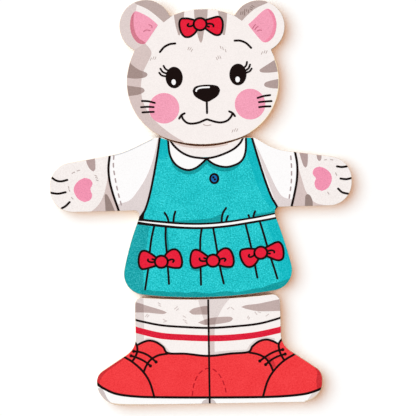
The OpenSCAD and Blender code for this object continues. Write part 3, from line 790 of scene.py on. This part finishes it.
printed("legs_sole_pale", 7, SOLE_PALE,
        to_edge(curve((42.4, -75.6), (40.3, -77.2), (39.1, -78.6), (37.8, -80.4)), (20, -72), LEGS))
# Painted shade and shadow: the bare birch rim under the soles in a darker tone, and at the right corner a
# wider band for the shadow beyond the edge.
bare_edge = curve((-41, -78.55), (-38.5, -79.2), (-33, -79.62), (-20, -79.93), (0, -80.17), (20, -80.35),
                  (37, -80.48))
printed("legs_bare_edge", 8, PAINTED_SHADE_BIRCH,
        (bare_edge, bare_edge - (0, 1)),
        to_edge(curve((43.6, -76.1), (42.4, -77.3), (41, -78.4), (39.4, -79.4), (37, -80.2)),
                (20, -72), LEGS))
printed("legs_stitch", 6, SHOE_STITCH,
        dashes(curve((-7.8, -77), (-7, -72.5), (-5.2, -68.6), (-2.4, -66.4), (-0.8, -66.2), (1, -66.6),
                     (3.4, -69), (5.2, -73), (6, -77.3)), width=0.5, dash=1.6, gap=1.5))
# The sole's line is thicker at its left tip.
left_tip = sole_line[:24] - np.linspace(0.3, 0, 24)[:, None] * (0, 1)
left_tongue, instep, right_tongue = shoe_top[3:51], shoe_top[50:91], shoe_top[90:138]
printed("legs_line", 9, LINE, pen(middle, 0.76), pen(sock_top, 0.84), pen(sole_line, 0.95),
        pen(left_tip, 0.95), pen(left_tongue), pen(instep), pen(right_tongue),
        [line(*seam, width=0.86) for seam in (
            ((-35, -60.4), (-31.1, -62.95), (-27.2, -66.75), (-24.62, -71.1), (-22.9, -77.2)),
            ((33.8, -61.2), (29.15, -63.9), (25.15, -67.7), (22.45, -72), (20.5, -78)),
            ((-17.2, -59.8), (-20.9, -60.4), (-24, -62.05), (-25.8, -64.4), (-26.9, -66.8)),
            ((15, -60.1), (19, -61.03), (22, -62.75), (23.8, -65.3), (24.75, -67.7)),
            ((-30.4, -54.6), (-29.4, -56.2), (-29.3, -58.6), (-30.3, -61), (-31.5, -62.6)),
            ((29, -54.8), (27.4, -57), (27.6, -59.8), (28.4, -61.9), (29.3, -63.5)))],
        [line(*lace) for lace in (
            ((-30.75, -58.5), (-28, -58.95), (-25, -60.3), (-21.9, -63)),
            ((-31.8, -60.3), (-29, -61.3), (-26.4, -62.7), (-24.2, -64.5)),
            ((28.9, -59.4), (26, -60), (23, -61.4), (19.6, -63.7)),
            ((29.8, -61.2), (27, -62), (24.5, -63.2), (21.9, -65.2)))],
        [oval(x, y, 0.65, 0.65) for x, y in (
            (-30.75, -58.5), (-21.9, -63), (-31.8, -60.3), (-24.2, -64.5),
            (28.9, -59.4), (19.6, -63.7), (29.8, -61.2), (21.9, -65.2))], grain=LINE_GRAIN)

# Setting: a sheet of white paper under a broad soft light from the upper left, with an even fill.
# To the camera the paper also gives off a warm light of its own, a painted light that tints its shadow
# warm while the lit paper stays white, and painted shade turns it dark brown in the narrow gaps.
# The camera looks straight down and is turned a little, because the doll lies a little askew.
PAPER_LEVEL = -0.03
# Painted light: in full light the paper's tone and its glow add up to white, and in shadow the warm glow is
# left. Where the open sky falls from GAP_OPEN to GAP_SHUT, both turn to the dark painted gap shade.
PAPER_TONE = (0.55, 0.85, 0.98, 1)
PAPER_PAINTED_GLOW = (0.48, 0.18, 0.05, 1)
GAP_PAINTED_SHADE = (0.05, 0.01, 0.004, 1)
GAP_PAINTED_GLOW = (0.03, 0.002, 0.0005, 1)
GAP_REACH = 20
GAP_SHUT = 0.13
GAP_OPEN = 0.26
PAPER_BOUNCE = (0.9, 0.9, 0.9, 1)
PAPER_SPREAD = 3000
FIBRES = 900  # noise scale per metre
FIBRE_DEPTH = 0.02
WHITE = (1, 1, 1, 1)
KEY_SHARE = 0.8
KEY_HEIGHT = np.radians(58)
KEY_FROM = np.radians(152)
KEY_SPREAD = np.radians(60)
FRAME_WIDTH = 166.4
CAMERA_HEIGHT = 1600
CAMERA_SENSOR = 36
CAMERA_FAR = 20000
CAMERA_PLACE = (0.5, -2.0)
DOLL_TURN = np.radians(1.5)


def mixed(tree, share, first, second):
    """Shader that goes from the first to the second by the share."""
    node = put(tree, "MixShader", Fac=share)
    join(tree, first, node.inputs[1])
    join(tree, second, node.inputs[2])
    return node.outputs[0]


lit = bpy.data.materials.new("white_paper")
lit.use_nodes = True
tree = lit.node_tree
tree.nodes.remove(tree.nodes["Principled BSDF"])
path = put(tree, "LightPath").outputs
seen = reckoned(tree, "MAXIMUM", path["Is Camera Ray"], path["Is Glossy Ray"])
seen_through = reckoned(tree, "MAXIMUM", seen, path["Is Transmission Ray"])
where = put(tree, "TexCoord").outputs["Object"]
fibres = put(tree, "TexNoise", Vector=where, Scale=FIBRES, Detail=3).outputs[0]
plain = put(tree, "BsdfDiffuse", Color=PAPER_BOUNCE).outputs[0]
weave = put(tree, "Bump", Height=fibres, Strength=0.05, Distance=FIBRE_DEPTH * MM).outputs[0]
shown = put(tree, "AddShader")
# Painted shade: the ambient occlusion darkens the paper's colour and its glow in narrow gaps and tight
# corners.
open_sky = put(tree, "AmbientOcclusion", Distance=GAP_REACH * MM, samples=8).outputs["AO"]
tone = ramp(tree, open_sky, [(GAP_SHUT, GAP_PAINTED_SHADE), (GAP_OPEN, PAPER_TONE)])
glow = ramp(tree, open_sky, [(GAP_SHUT, GAP_PAINTED_GLOW), (GAP_OPEN, PAPER_PAINTED_GLOW)])
join(tree, put(tree, "BsdfDiffuse", Color=tone, Normal=weave).outputs[0], shown.inputs[0])
join(tree, put(tree, "Emission", Color=glow).outputs[0], shown.inputs[1])
fed(tree, tree.nodes["Material Output"], Surface=mixed(tree, seen_through, plain, shown.outputs[0]))
spread = np.array([(-1, -1), (1, -1), (1, 1), (-1, 1)]) * PAPER_SPREAD
corners = np.column_stack([spread, np.full(4, PAPER_LEVEL)]) * MM
ground = made("table_paper", corners, [[0, 1, 2, 3]], lit, False)

room = bpy.data.worlds.new("room")
room.use_nodes = True
bpy.context.scene.world = room
tree = room.node_tree
seen = put(tree, "LightPath").outputs["Is Camera Ray"]
fill = fed(tree, tree.nodes["Background"], Color=WHITE, Strength=1 - KEY_SHARE).outputs[0]
plain = put(tree, "Background", Color=WHITE, Strength=1).outputs[0]
fed(tree, tree.nodes["World Output"], Surface=mixed(tree, seen, fill, plain))

key = bpy.data.lights.new("window_key", "SUN")
key.energy = KEY_SHARE * np.pi / np.sin(KEY_HEIGHT)
key.angle = KEY_SPREAD
lamp = bpy.data.objects.new("window_key", key)
lamp.rotation_euler = (0, np.pi / 2 - KEY_HEIGHT, KEY_FROM)
bpy.context.scene.collection.objects.link(lamp)

view = bpy.data.cameras.new("view")
view.sensor_width = CAMERA_SENSOR
view.lens = view.sensor_width * CAMERA_HEIGHT / FRAME_WIDTH
view.clip_end = CAMERA_FAR * MM
camera = bpy.data.objects.new("view", view)
camera.location = (*(np.array(CAMERA_PLACE) * MM), CAMERA_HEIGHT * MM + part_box("torso_print_sheet")[1].z)
camera.rotation_euler = (0, 0, -DOLL_TURN)
bpy.context.scene.collection.objects.link(camera)
bpy.context.scene.camera = camera
bpy.context.scene.view_settings.view_transform = "Standard"
